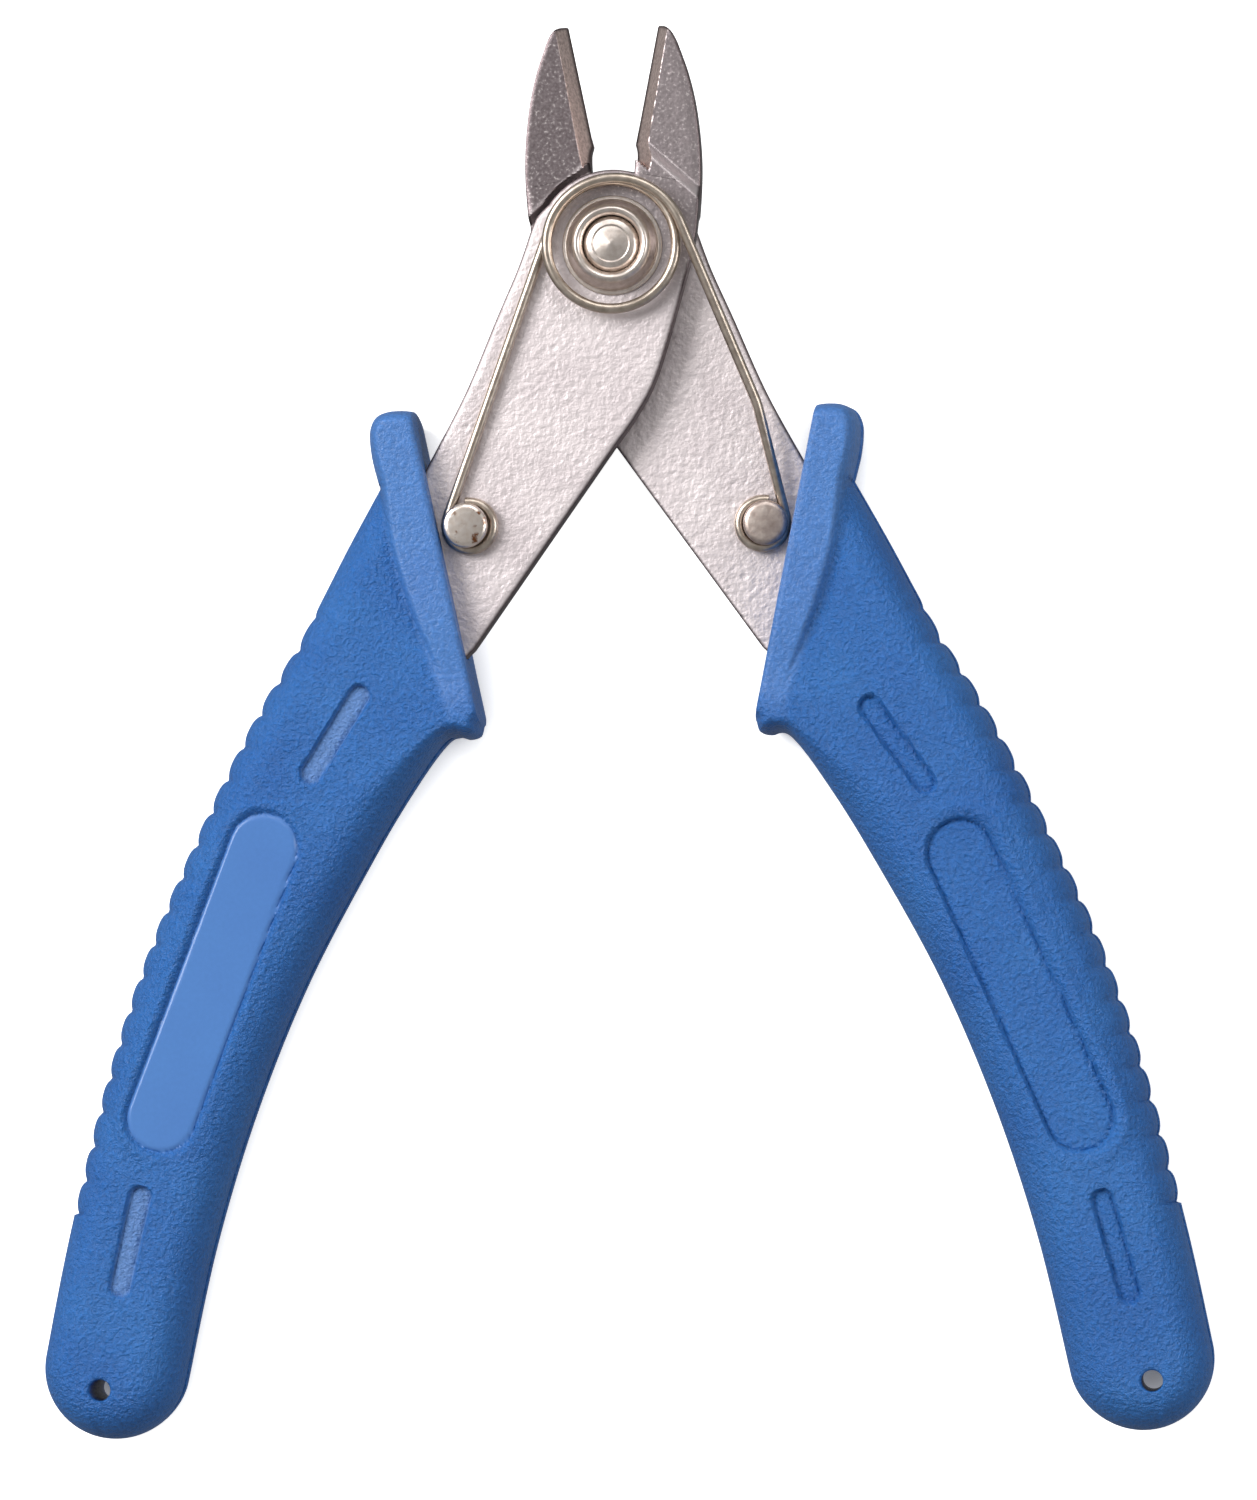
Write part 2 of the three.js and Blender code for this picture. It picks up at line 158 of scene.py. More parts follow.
# %% From points to a closed mesh
SHARP_ANGLE, SOFT_ANGLE = 40, 50  # an edge stays sharp if its faces turn more than this, in degrees


def surface(name, rings, smooth_angle=None, attributes=None):
    """A mesh from an array of rings, stations by points round by 3, in metres. Each ring closes on
    itself. The first and last rings are closed flat or have shrunk to a point. Faces are turned
    outwards and points that coincide are merged."""
    stations, around = rings.shape[:2]
    k = np.arange(stations - 1)[:, None] * around
    j = np.arange(around)[None, :]
    n = (j + 1) % around
    quads = np.stack([k + j, k + n, k + around + n, k + around + j], -1).reshape(-1, 4)
    mesh = bpy.data.meshes.new(name)
    mesh.from_pydata(rings.reshape(-1, 3), [], quads.tolist())
    for key, values in (attributes or {}).items():
        layer = mesh.attributes.new(key, "FLOAT", "POINT")
        layer.data.foreach_set("value", np.asarray(values, np.float32).ravel())
    work = bmesh.new()
    work.from_mesh(mesh)
    bmesh.ops.remove_doubles(work, verts=work.verts, dist=2e-7)
    open_edges = [e for e in work.edges if e.is_boundary]
    if open_edges:
        bmesh.ops.holes_fill(work, edges=open_edges, sides=0)
        bmesh.ops.triangulate(work, faces=[f for f in work.faces if len(f.verts) > 4])
    bmesh.ops.recalc_face_normals(work, faces=work.faces)
    if work.calc_volume(signed=True) < 0:
        bmesh.ops.reverse_faces(work, faces=work.faces)
    work.to_mesh(mesh)
    work.free()
    mesh.shade_smooth()
    if smooth_angle:
        mesh.set_sharp_from_angle(angle=math.radians(smooth_angle))
    piece = bpy.data.objects.new(name, mesh)
    bpy.context.scene.collection.objects.link(piece)
    print(name, "has", len(mesh.polygons), "faces")
    return piece


# %% [markdown]
# ## The blades
# Each blade is punched from sheet about 2.5 mm thick and coined, so its outline is crisp and its
# rims are slightly rounded. The jaw is joggled back to the middle plane along a slanting bend, and
# its cutting edge is ground on the front only, which leaves the back flush. A blade is thin and
# long, so its surface is worked out from sections that run from its left edge to its right edge:
# the height of each face depends only on where the point lies, and drops at the rims.

# %% The blade's two edges
PLATE_LOW, PLATE_HIGH = 0.1, 2.6
JAW_HALF = 1.3
DISC_RADIUS = 6.65
THROAT = (0.05, 9.3)
APEX = (0.12, 20.0)

tang_outer = [(-12.3, -21.6), (-15.8, -34), (-20.6, -52), (-24.2, -66), (-26.4, -79)]
tang_inner = [(-20.3, -78), (-18, -65), (-14.4, -53), (-9.5, -43), (-5.4, -36.8)]
TANG_END = [(-27, -85), (-24.1, -85), (-21.2, -85)]

blade_left = joined([APEX, (0.05, 19.9)], spline([(0.05, 19.9), THROAT], 60),
                    spline([THROAT, (0.38, 8.6), (0.58, 7.6), (0.69, 6.75)]),
                    arc((0, 0), DISC_RADIUS, 84, 157),
                    spline([(-6.12, 2.6), (-6.9, 1.45), (-7.22, 0.3), (-7.55, -2), (-7.9, -4), (-8.8, -8),
                            (-10.3, -15), (-12.3, -21.6)], 12),
                    spline(tang_outer + [TANG_END[0]]), [TANG_END[1]])
blade_right = joined(spline([APEX, (0.8, 19.9), (1.5, 19.5), (2.05, 18.8)], 12),
                     spline([(2.05, 18.8), (3.6, 16.1), (4.9, 13), (6.05, 9), (6.7, 5), (6.95, 1.5),
                             (6.69, -2.6), (5.91, -10.25), (4.84, -14), (3.4, -17.2)]),
                     spline([(3.4, -17.2), (-5.4, -36.8)], 60),
                     spline(tang_inner[::-1] + [TANG_END[2]]), [TANG_END[1]])
print("blade edges", round(lengths(blade_left)[-1], 1), round(lengths(blade_right)[-1], 1), "mm")

# %% How high each face of the blade is
JOGGLE_NORMAL = np.array([math.cos(math.radians(59.4)), math.sin(math.radians(59.4))])
BACK_STEP, FRONT_STEP = (6.5, 7.05), (7.95, 8.95)
RECESS_RADIUS = 7.05
EDGE_LAND = 0.2  # thickness left at the cutting edge
EDGE_SLOPE = ([THROAT[1], 19.7], [1.95, 2.3])  # rise of the ground face at the throat and at the tip
PLATE_ROLL = (0.7, 0.18)  # how far in the rims are rounded, and how deep
JAW_ROLL = {"front": (0.9, 0.25), "rear": (0.4, 0.1)}
RIM, JAW_RIM_LESS = 0.22, 0.2  # the same on the hidden side, and how much less it is in the jaw
CUT_REGION = (6.85, 3.2)  # the ground face lies above this y and left of this x


def edge_grinding(p):
    """Height of the ground face: a plane that rises from the cutting edge to the jaw's front, a
    little steeper at the tip."""
    slope = np.interp(p[..., 1], *EDGE_SLOPE)
    return EDGE_LAND - JAW_HALF + (p[..., 0] - THROAT[0]) * slope


def rolled(e, reach, depth):
    """How far a face has dropped at a distance e from a rim that is rounded over a reach."""
    return depth * (1 - np.sqrt(np.clip(1 - np.clip(1 - e / reach, 0, 1) ** 2, 0, 1)))


def blade_faces(p, lever):
    """Lower and upper height of the blade at points p, how much of it is ground, and the distance
    to the outline. At the joggle the front face slides down to the jaw along a slanting ramp, and
    the back face steps down round the other blade's disc. Near the outline the faces roll over, and
    the ground face cuts the one that shows."""
    across = p @ JOGGLE_NORMAL
    from_pivot = np.hypot(p[..., 0], p[..., 1])
    outside_disc = smoothstep(RECESS_RADIUS - 0.05, RECESS_RADIUS + 0.25, from_pivot)
    step = smoothstep(*BACK_STEP, across) * outside_disc
    low = PLATE_LOW - (PLATE_LOW + JAW_HALF) * step
    high = PLATE_HIGH - (PLATE_HIGH - JAW_HALF) * smoothstep(*FRONT_STEP, across)
    outer, inner = distance_to(p, blade_right), distance_to(p, blade_left)
    edge = np.minimum(outer, inner)
    in_jaw = smoothstep(FRONT_STEP[0] - 0.6, FRONT_STEP[1] + 1.5, across)
    shown_roll = rolled(edge, *PLATE_ROLL) * (1 - in_jaw) + rolled(outer, *JAW_ROLL[lever]) * in_jaw
    hidden_reach = RIM - JAW_RIM_LESS * in_jaw
    hidden_roll = rolled(edge, hidden_reach, hidden_reach)
    cut = edge_grinding(p)
    beside_edge = (across > BACK_STEP[1]) & (p[..., 1] > CUT_REGION[0]) & (p[..., 0] < CUT_REGION[1])
    if lever == "front":
        low, high = low + hidden_roll, high - np.maximum(shown_roll, hidden_roll)
        high = np.where(beside_edge, np.minimum(high, np.maximum(cut, low + EDGE_LAND)), high)
        shown = high
    else:
        low, high = low + np.maximum(shown_roll, hidden_roll), high - hidden_roll
        low = np.where(beside_edge, np.maximum(low, np.minimum(-cut, high - EDGE_LAND)), low)
        shown = -low
    ground = beside_edge * (1 - smoothstep(0.0, 0.05, np.abs(shown - cut)))
    return low, high, ground, edge


# %% A blade from its sections
VISIBLE_BLADE = 62.0  # along the left edge, from the tip to where the tang is in the grip
HALF_RING = 88
TIP_TURN, END_TURN = 0.55, 3.0  # along the left edge, where sections close in on the tip and tang
RIM_SHADE_REACH = (0.05, 0.32)  # distances from the outline where the painted shade along the rim starts and has faded


def blade_piece(name, lever):
    """Sections at set lengths along the left edge end at the same height on the right edge. Points
    crowd to both rims as the cosine of an even angle, and the ring goes over and back under."""
    total = lengths(blade_left)[-1]
    walked = np.r_[np.linspace(0, 1.2, 12), np.arange(1.35, VISIBLE_BLADE, 0.17),
                   np.linspace(VISIBLE_BLADE, total, 60)]
    left = at_length(blade_left, walked)
    fall = -blade_right[:, 1]
    right_walk = np.interp(-left[:, 1], np.maximum.accumulate(fall), lengths(blade_right))
    first, last = walked < TIP_TURN, walked > total - END_TURN
    right_walk[first] = walked[first] / TIP_TURN * right_walk[~first][0]
    end = lengths(blade_right)[-1]
    right_walk[last] = end - (total - walked[last])
    right = at_length(blade_right, right_walk)
    w = ((1 - np.cos(np.linspace(0, math.pi, HALF_RING))) / 2)[None, :, None]
    p = left[:, None] * (1 - w) + right[:, None] * w
    low, high, ground, edge = blade_faces(p, lever)
    across, radius = p @ JOGGLE_NORMAL, np.hypot(p[..., 0], p[..., 1])
    # The jaw mask darkens the finish. On the front blade it starts on the disc under the coil, as painted
    # shade, is cut back on the joggle ramp, a painted highlight, and is held to 0.8, so the front jaw is
    # painted lighter. On the rear blade it covers the jaw only.
    if lever == "front":
        ramp = smoothstep(FRONT_STEP[0] - 0.1, FRONT_STEP[0] + 0.2, across)
        ramp = ramp * (1 - smoothstep(FRONT_STEP[1] - 0.4, FRONT_STEP[1] + 0.1, across))
        jaw = 0.8 * smoothstep(-5.0, 7.5, across) * (1 - 0.9 * ramp)
    else:
        jaw = smoothstep(RECESS_RADIUS + 0.1, RECESS_RADIUS + 0.5, radius) * smoothstep(6.9, 7.5, across)
    # A band along the outline is darkened in the finish, as painted shade.
    rim = 1 - smoothstep(*RIM_SHADE_REACH, edge)
    blank = np.zeros_like(ground)
    sides = {"jaw": (jaw, jaw), "rim": (rim, rim),
             "ground": (ground, blank) if lever == "front" else (blank, ground)}
    values = {key: there_and_back(*pair) for key, pair in sides.items()}
    rings = there_and_back(raised(p, high), raised(p, low))
    return surface(name, placed(rings, lever), SHARP_ANGLE, values)


blades = {"front": blade_piece("front_blade_stamping", "front"),
          "rear": blade_piece("rear_blade_stamping", "rear")}

# %% [markdown]
# ## The grips
# A grip is injection moulded over the tang: a long curved body with soft shoulders, a thick
# slanting finger guard round its mouth, lobes along the outer edge for the fingers, two blind slots
# and a sunk label panel on each face, and a hole for a lanyard. The surface is again made of
# sections from edge to edge. Its height grows from zero at the outline along a quarter superellipse,
# so the wall starts upright at the parting line and turns over into the face.

# %% The grip's two edges
GUARD_TOP, GUARD_FOOT = np.array([-14.6, -17.25]), np.array([-3.6, -43.2])
NECK = (-16.3, -24.4)
END_CENTRE, END_RADIUS = (-24.92, -104.1), 6.2
guard_end = spline([GUARD_TOP, (-15.7, -17.38), (-16.8, -17.7), (-17.65, -18.3), (-18.0, -19.2),
                    (-17.95, -20.3), (-17.35, -22.2), NECK], 12)
body_outer = spline([NECK, (-18.1, -30), (-20.5, -38), (-23.4, -46), (-26.2, -56), (-28.9, -68),
                     (-30.4, -80), (-31.05, -94), (-31.12, -104.1)])
body_inner = spline([GUARD_FOOT, (-3.75, -44.1), (-4.6, -44.55), (-5.6, -44.55), (-6.7, -45.4), (-8.4, -49),
                     (-11.0, -56), (-14.7, -68), (-17.1, -80), (-18.4, -92), (-18.72, -104.1)])
grip_outer = joined(guard_end, body_outer, arc(END_CENTRE, END_RADIUS, 180, 270))
grip_inner = joined(body_inner, arc(END_CENTRE, END_RADIUS, 0, -90))
body_root = joined([(-13.9, -17.0), NECK], body_outer, arc(END_CENTRE, END_RADIUS, 180, 270))

# %% The finger guard's band
mouth_length = float(np.hypot(*(GUARD_FOOT - GUARD_TOP)))
MOUTH_ALONG = (GUARD_FOOT - GUARD_TOP) / mouth_length
MOUTH_INTO = np.array([MOUTH_ALONG[1], -MOUTH_ALONG[0]])
band_v = [5.8, 9.0, 12.6, 17.0, 21.3, 24.5, 28.0]
band_width = [4.31, 4.62, 4.72, 4.3, 3.6, 3.2, 3.0]
band_back = GUARD_TOP + np.outer(band_v, MOUTH_ALONG) + np.outer(band_width, MOUTH_INTO)
guard_line = joined(guard_end, spline(band_back, 8))

# %% Lobes, slots and panels, as small moves of the surface
LOBES, LOBE_FIRST, LOBE_PITCH, LOBE_DEPTH = 19, -36.5, 3.06, 0.46
SLOT_RADIUS, SLOT_DEPTH = 0.95, 0.5
PANEL_RADIUS = 3.0
# Places are distances from a panel's outline, less than zero inside it. A bead has a height, what the
# outer side adds, a place and a width. A wall starts and ends. A groove has a depth, place and width.
polished_face = {"slots": [((-14.32, -42.7), (-17.18, -50.0)), ((-25.02, -88.95), (-25.29, -96.85))],
                 "panel": ((-20.1, -57.2), (-24.5, -81.8)), "bead": (0.08, 0.2, 0.75, 0.38),
                 "floor": 0.1, "wall": (-0.1, 0.12), "groove": (0.3, 0.05, 0.16)}
plain_face = {"slots": [((-13.87, -44.15), (-17.2, -51.55)), ((-24.69, -90.0), (-25.29, -98.2))],
              "panel": ((-18.95, -58.2), (-24.25, -82.6)), "bead": (0.05, 0.25, 1.0, 0.6),
              "floor": 0.42, "wall": (-0.12, 0.14), "groove": (0.2, -0.12, 0.16)}


def lobes(y):
    """How far the outer edge is cut in at height y: nothing on a lobe's crest and most in the
    sharp notch between two lobes. Crests sit a little above the middle of each lobe."""
    turn = (LOBE_FIRST - y) / LOBE_PITCH
    u = (turn % 1.0) ** 0.85
    inside = (turn > -0.5) & (turn < LOBES - 0.999)
    fade = smoothstep(-0.5, 0.6, turn)
    return np.where(inside, LOBE_DEPTH * fade * np.abs(2 * u - 1) ** 2.6, 0.0)


def stadium(p, ends, radius):
    """Signed distance to a slot with round ends: negative inside."""
    return distance_to(p, np.array(ends, float)) - radius


def ridge(d, height, place, width):
    """A bell-shaped ridge where the distance d is near a place."""
    return height * np.exp(-((d - place) / width) ** 2)


def face_moves(p, face):
    """Height added to a face: slots sunk with soft walls and a groove at the foot, and a panel with
    a sunk floor, a groove and a bead that is higher on the outer side."""
    move = np.zeros(p.shape[:-1])
    for ends in face["slots"]:
        d = stadium(p, ends, SLOT_RADIUS)
        move -= SLOT_DEPTH * (1 - smoothstep(-0.1, 0.12, d)) + ridge(d, 0.12, -0.12, 0.14)
    d = stadium(p, face["panel"], PANEL_RADIUS)
    a, b = np.array(face["panel"])
    along = (b - a) / np.linalg.norm(b - a)
    outer = smoothstep(-1.5, 2.0, (p - a) @ np.array([along[1], -along[0]]))
    low, more, place, width = face["bead"]
    bead = ridge(d, low + more * outer, place, width)
    return move + bead - face["floor"] * (1 - smoothstep(*face["wall"], d)) - ridge(d, *face["groove"])


# %% The height of the grip's face
BODY_HALF, GUARD_HALF = 5.0, 5.4
OUTER_SHOULDER, INNER_SHOULDER, GUARD_SHOULDER, FOOT_SHOULDER = 3.5, 4.3, 1.25, 1.3
GUARD_SINKS = (17.5, 27.0)  # along the mouth, from where the guard sinks and to where it has sunk
HOLLOW_DEPTH, HOLLOW_REACH = 0.5, 3.5  # of the dip in the body behind the guard
MOUTH_FILLET = 0.55


def smooth_max(a, b, k):
    """The larger of two heights, with a small fillet of size k where they cross."""
    h = np.clip(0.5 + (a - b) / (2 * k), 0, 1)
    return b * (1 - h) + a * h + k * h * (1 - h)


def grip_height(p):
    """Half thickness of the plain grip at p: the body's shoulders, joined to the guard's round
    bar, which sinks into the body towards the foot, and eased at the mouth's front edge."""
    rel = p - GUARD_TOP
    v, g = rel @ MOUTH_ALONG, rel @ MOUTH_INTO
    d_in = distance_to(p, grip_inner)
    d_out = distance_to(p, body_root)
    inside_body = ((p[..., 0] > np.interp(p[..., 1], body_root[::-1, 1], body_root[::-1, 0]))
                   | (p[..., 1] < END_CENTRE[1]))
    inner = FOOT_SHOULDER + (INNER_SHOULDER - FOOT_SHOULDER) * smoothstep(-44, -54, p[..., 1])
    e_body = np.minimum(np.where(inside_body, d_out, 0) / OUTER_SHOULDER, d_in / inner)
    sink = smoothstep(*GUARD_SINKS, v)
    past_band = g - np.interp(v, band_v, band_width)
    hollow = HOLLOW_DEPTH * (1 - sink) * np.exp(-np.clip(past_band, 0, None) / HOLLOW_REACH)
    body = (BODY_HALF - hollow) * rounded_rise(e_body, 2.15)
    crest = GUARD_HALF - (GUARD_HALF - BODY_HALF + 0.25) * sink
    in_band = g < np.interp(v, band_v, band_width, left=9)
    e_guard = np.minimum(distance_to(p, guard_line) / GUARD_SHOULDER, d_in / FOOT_SHOULDER)
    e_guard = np.where(in_band, e_guard, 0)
    guard = crest * rounded_rise(e_guard, 2.1)
    height = smooth_max(body, guard, 0.18) * (1 - np.exp(-np.maximum(body, guard) * 40))
    short = np.clip(MOUTH_FILLET - g, 0, MOUTH_FILLET)
    drop = MOUTH_FILLET - np.sqrt(np.clip(MOUTH_FILLET**2 - short**2, 0, None))
    return np.clip(height - drop * np.clip(height, 0, 1), 0, None), v, g


# %% The sections of a grip
TANG_GAP = 0.14
MOULD_STEP = 0.2  # how far one half of the mould stood beside the other
FACE_POINTS = 94
CROWDED_AT = (0.25, 0.43, 0.575, 0.72)  # the sides of the slots and the panel, across a section


def section_stations():
    """Pairs of lengths along the outer and the inner edge that each section joins: slanted with
    the mouth at first, then square to the handle, and crowded at the guard and the round end."""
    outer_s, inner_s = lengths(grip_outer), lengths(grip_inner)
    squares = [(-46, -51.3), (-56, -60.2), (-68, -71.3), (-80, -81.5), (-92, -92), (-104, -104)]
    outer_k, inner_k = [0, lengths(guard_end)[-1]], [0, 1.6]
    for y_out, y_in in squares:
        outer_k.append(np.interp(-y_out, -body_outer[:, 1], lengths(body_outer)) + outer_k[1])
        inner_k.append(np.interp(-y_in, -body_inner[:, 1], lengths(body_inner)))
    total = outer_s[-1]
    outer_k.append(total)
    inner_k.append(inner_s[-1])
    walked = np.r_[np.linspace(0, 0.6, 9), np.arange(0.72, 10, 0.17), np.arange(10.2, total - 9.4, 0.222),
                   total - 9.3 * np.cos(np.linspace(0, math.pi / 2, 44))]
    return walked, np.interp(walked, outer_k, inner_k)


def spread(count, crowded=()):
    """Places from 0 to 1 across a section. They crowd to both ends as the cosine of an even angle,
    and to the given places, where the surface turns fast."""
    w = (1 - np.cos(np.linspace(0, math.pi, 2001))) / 2
    density = np.ones_like(w)
    for c in crowded:
        density += 1.5 * np.exp(-(((w - c) / 0.035) ** 2))
    total = np.r_[0, np.cumsum((density[1:] + density[:-1]) / 2)]
    return np.interp(np.linspace(0, total[-1], count), total, w)


def grip_plan():
    """Where the points of all sections lie on the plan, and the plain grip's height there. Near
    the outer edge a point moves square to that edge, by what the lobes cut away."""
    walked_out, walked_in = section_stations()
    out, inn = at_length(grip_outer, walked_out), at_length(grip_inner, walked_in)
    w = spread(FACE_POINTS, CROWDED_AT)[None, :, None]
    p = out[:, None] * (1 - w) + inn[:, None] * w
    height, v, g = grip_height(p)
    tangent = np.gradient(out, axis=0)
    tangent /= np.maximum(np.hypot(*tangent.T), 1e-9)[:, None]
    inwards = np.stack([-tangent[:, 1], tangent[:, 0]], -1)[:, None]
    cut = lobes(p[..., 1]) * (1 - smoothstep(0.1, 2.4, distance_to(p, body_outer)))
    centre = p.mean(1, keepdims=True)
    towards = (centre - p) / np.maximum(np.linalg.norm(centre - p, axis=-1, keepdims=True), 1e-6)
    parting = 0.1 * np.exp(-height / 0.12)
    return p, p + inwards * cut[..., None] + towards * parting[..., None], height, v, g


# %% The cavity round the tang
def mouth_crossing(edge):
    """Length along a blade's edge where it goes in at the mouth."""
    depth = (edge - GUARD_TOP) @ MOUTH_INTO
    first = np.nonzero((depth > 0) & (edge[:, 1] < -20))[0][0]
    s = lengths(edge)
    return np.interp(0, depth[first - 1:first + 1], s[first - 1:first + 1])


def cavity_rings(count=40):
    """Rings that follow the tang's two edges from its end back to the mouth, with a little room."""
    t = np.linspace(1, 0, count)
    ends = []
    for edge, corner in ((blade_left, TANG_END[0]), (blade_right, TANG_END[2])):
        start = mouth_crossing(edge)
        s = lengths(edge)
        end = s[np.argmin(np.hypot(*(edge - corner).T))]
        ends.append(at_length(edge, start + (end - start) * t))
    left, right = ends
    across = (right - left) / np.linalg.norm(right - left, axis=1, keepdims=True)
    left, right = left - across * TANG_GAP, right + across * TANG_GAP
    w = spread(FACE_POINTS)[None, :, None]
    p = left[:, None] * (1 - w) + right[:, None] * w
    high = np.full(p.shape[:-1], PLATE_HIGH + TANG_GAP)
    low = np.full_like(high, PLATE_LOW - TANG_GAP)
    return there_and_back(raised(p, high), raised(p, low))


# %% A grip
ON_FACE = (2.5, 4.2)  # the heights between which the slots and the panel fade in
SLOT_PALENESS = 0.7  # how far the slots' floors go towards the pale colour, painted as the glints of their grain
plan = grip_plan()


def grip_piece(name, lever):
    """The shell's sections, each over the top and back underneath, then the flat mouth and the
    cavity, as one closed run of rings."""
    p, moved, height, v, g = plan
    closing = smoothstep(-109.5, -104, p[..., 1])[..., None]
    on_face = smoothstep(*ON_FACE, height)
    top = height + on_face * face_moves(p, polished_face)
    bottom = height + on_face * face_moves(p, plain_face)
    far_half = moved + np.array([MOULD_STEP, 0.0]) * smoothstep(0.0, 4.0, g)[..., None] * closing
    shell = there_and_back(raised(moved, top), raised(far_half, -bottom))
    cavity = cavity_rings()
    t = np.linspace(0, 1, 6)[1:-1, None, None]
    mouth = cavity[-1] * (1 - t) + shell[0] * t
    # The guard mask makes the guard paler in the finish, a painted highlight, and calms its grain.
    guard = 1 - smoothstep(0, 1.0, g - np.interp(v, band_v, np.array(band_width) - 1.0, left=9, right=1.0))
    guard = guard * (1 - smoothstep(24, 29, v))
    # The glossy mask makes the panel shinier and paler; the paleness is a painted sheen.
    glossy = 1 - smoothstep(-0.1, 0.1, stadium(p, polished_face["panel"], PANEL_RADIUS))
    # The slots' floors on this face are made paler, painted as the glints of their grain.
    sunk = sum(1 - smoothstep(-0.15, 0.05, stadium(p, ends, SLOT_RADIUS)) for ends in polished_face["slots"])
    plain, unseen = np.zeros_like(guard), np.zeros((len(cavity) + len(mouth), 2 * FACE_POINTS))
    sides = {"guard": (guard, guard), "glossy": (glossy, plain), "sunk": (SLOT_PALENESS * sunk, plain)}
    values = {key: np.concatenate([unseen, there_and_back(*pair)]) for key, pair in sides.items()}
    rings = placed(np.concatenate([cavity, mouth, shell]), lever)
    return surface(name, rings, SOFT_ANGLE, values)


grips = {"front": grip_piece("left_grip_moulding", "front"),
         "rear": grip_piece("right_grip_moulding", "rear")}

# %% [markdown]
# ## Holes
# The blades are punched for the rivet and the posts, and the grip's end is moulded with a hole for
# a lanyard. A hole breaks the sheet of points, so it is cut afterwards with a turned plug whose
# ends flare, which leaves a rounded lip.

# %% Turned pieces
def eased(corners, radius, steps=5):
    """A profile with its corners rounded: each is replaced by a short parabola between points a
    radius before and after it."""
    c = np.asarray(corners, float)
    before, after = c[:-2] - c[1:-1], c[2:] - c[1:-1]
    reach_a = np.minimum(radius, 0.45 * np.linalg.norm(before, axis=1))[:, None]
    reach_b = np.minimum(radius, 0.45 * np.linalg.norm(after, axis=1))[:, None]
    start = c[1:-1] + before / np.linalg.norm(before, axis=1)[:, None] * reach_a
    end = c[1:-1] + after / np.linalg.norm(after, axis=1)[:, None] * reach_b
    t = np.linspace(0, 1, steps)[None, :, None]
    curve = start[:, None] * (1 - t) ** 2 + 2 * c[1:-1][:, None] * t * (1 - t) + end[:, None] * t**2
    return np.vstack([c[:1], curve.reshape(-1, 2), c[-1:]])


def turned_rings(profile, centre, around):
    """Radius and height along a profile, carried round an axis that stands at centre."""
    angle = np.linspace(0, 2 * math.pi, around, endpoint=False)
    r, z = np.asarray(profile, float).T
    ring = np.stack([np.cos(angle), np.sin(angle)], -1)
    xy = r[:, None, None] * ring[None] + np.asarray(centre, float)
    return raised(xy, np.broadcast_to(z[:, None], xy.shape[:2]))


# %% Cutting the holes
POST_AT = (-8.0, -26.4)
LANYARD_AT, LANYARD_RADIUS = (-25.4, -106.05), 0.93
RIVET_HOLE, POST_HOLE = 2.5, 1.3


def cut_hole(piece, radius, centre, low, high, lever, lip=0.3):
    """Takes a turned plug out of a piece. The plug widens past each face by a quarter circle."""
    turn = np.linspace(0, math.pi / 2, 9)[1:]
    flare_r, flare_z = radius + lip * (1 - np.cos(turn)), lip * np.sin(turn)
    up = np.stack([flare_r, high - lip + flare_z], -1)
    down = np.stack([flare_r, low + lip - flare_z], -1)[::-1]
    out = radius + lip
    profile = np.vstack([[(0, low - 1), (out, low - 1)], down, [(radius, low + lip), (radius, high - lip)],
                         up, [(out, high + 1), (0, high + 1)]])
    plug = surface(piece.name + "_plug", placed(turned_rings(profile, centre, 72), lever))
    cut = piece.modifiers.new("hole", "BOOLEAN")
    cut.operation, cut.solver, cut.object = "DIFFERENCE", "MANIFOLD", plug
    bpy.context.view_layer.update()
    seen = piece.evaluated_get(bpy.context.evaluated_depsgraph_get())
    mesh = bpy.data.meshes.new_from_object(seen)
    piece.modifiers.clear()
    piece.data = mesh
    bpy.data.objects.remove(plug)
    print(piece.name, "now has", len(mesh.polygons), "faces")


for lever in ("front", "rear"):
    cut_hole(grips[lever], LANYARD_RADIUS, LANYARD_AT, -BODY_HALF, BODY_HALF, lever)
    cut_hole(blades[lever], RIVET_HOLE, (0, 0), PLATE_LOW, PLATE_HIGH, lever, 0.15)
    cut_hole(blades[lever], POST_HOLE, POST_AT, PLATE_LOW, PLATE_HIGH, lever, 0.1)

# %% [markdown]
# ## The pivot and the spring
# The blades turn on a shouldered rivet with a big head at the back. A turned collar with a flared
# rim is pressed over its front end, and the end is faced with a shallow cone. The spring is bright
# drawn wire with a turn and a half of coil round the collar, a straight leg to each side, and an eye
# at each leg's end that hooks under the head of a post.

# %% The rivet, the collar and the posts
def turned_piece(name, profile, centre=(0, 0), around=144):
    """A turned piece whose axis stands at centre, measured from the pivot with the pliers at rest."""
    rings = turned_rings(profile, centre, around)
    return surface(name, (rings + PIVOT) * MM, SHARP_ANGLE)


SEAT = PLATE_HIGH + 0.1
rivet = turned_piece("pivot_rivet_turning", np.vstack([
    [(0, -3.7)], eased([(0.2, -3.7), (3.6, -3.7), (4.2, -3.3), (4.2, -2.7), (2.2, -2.7)], 0.3),
    eased([(2.2, -2.6), (2.2, 3.2), (2.44, 3.6), (2.44, 4.05), (2.1, 4.5), (1.62, 4.62), (1.56, 4.52),
           (1.4, 4.56), (0.1, 4.82)], 0.1),
    [(0, 4.83)]]))
collar = turned_piece("pivot_collar_turning", eased([
    (2.5, 3.6), (2.5, SEAT), (4.35, SEAT), (4.35, SEAT + 0.14), (3.96, SEAT + 0.16), (3.92, 3.3),
    (3.42, 4.55), (3.1, 4.9), (2.75, 4.8), (2.5, 4.3), (2.5, 3.6)], 0.16))

POST_REACH = math.hypot(*POST_AT)
rest = math.atan2(POST_AT[1], POST_AT[0]) - HALF_OPEN
left_post_at = np.array([math.cos(rest), math.sin(rest)]) * POST_REACH
right_post_at = left_post_at * (-1, 1)


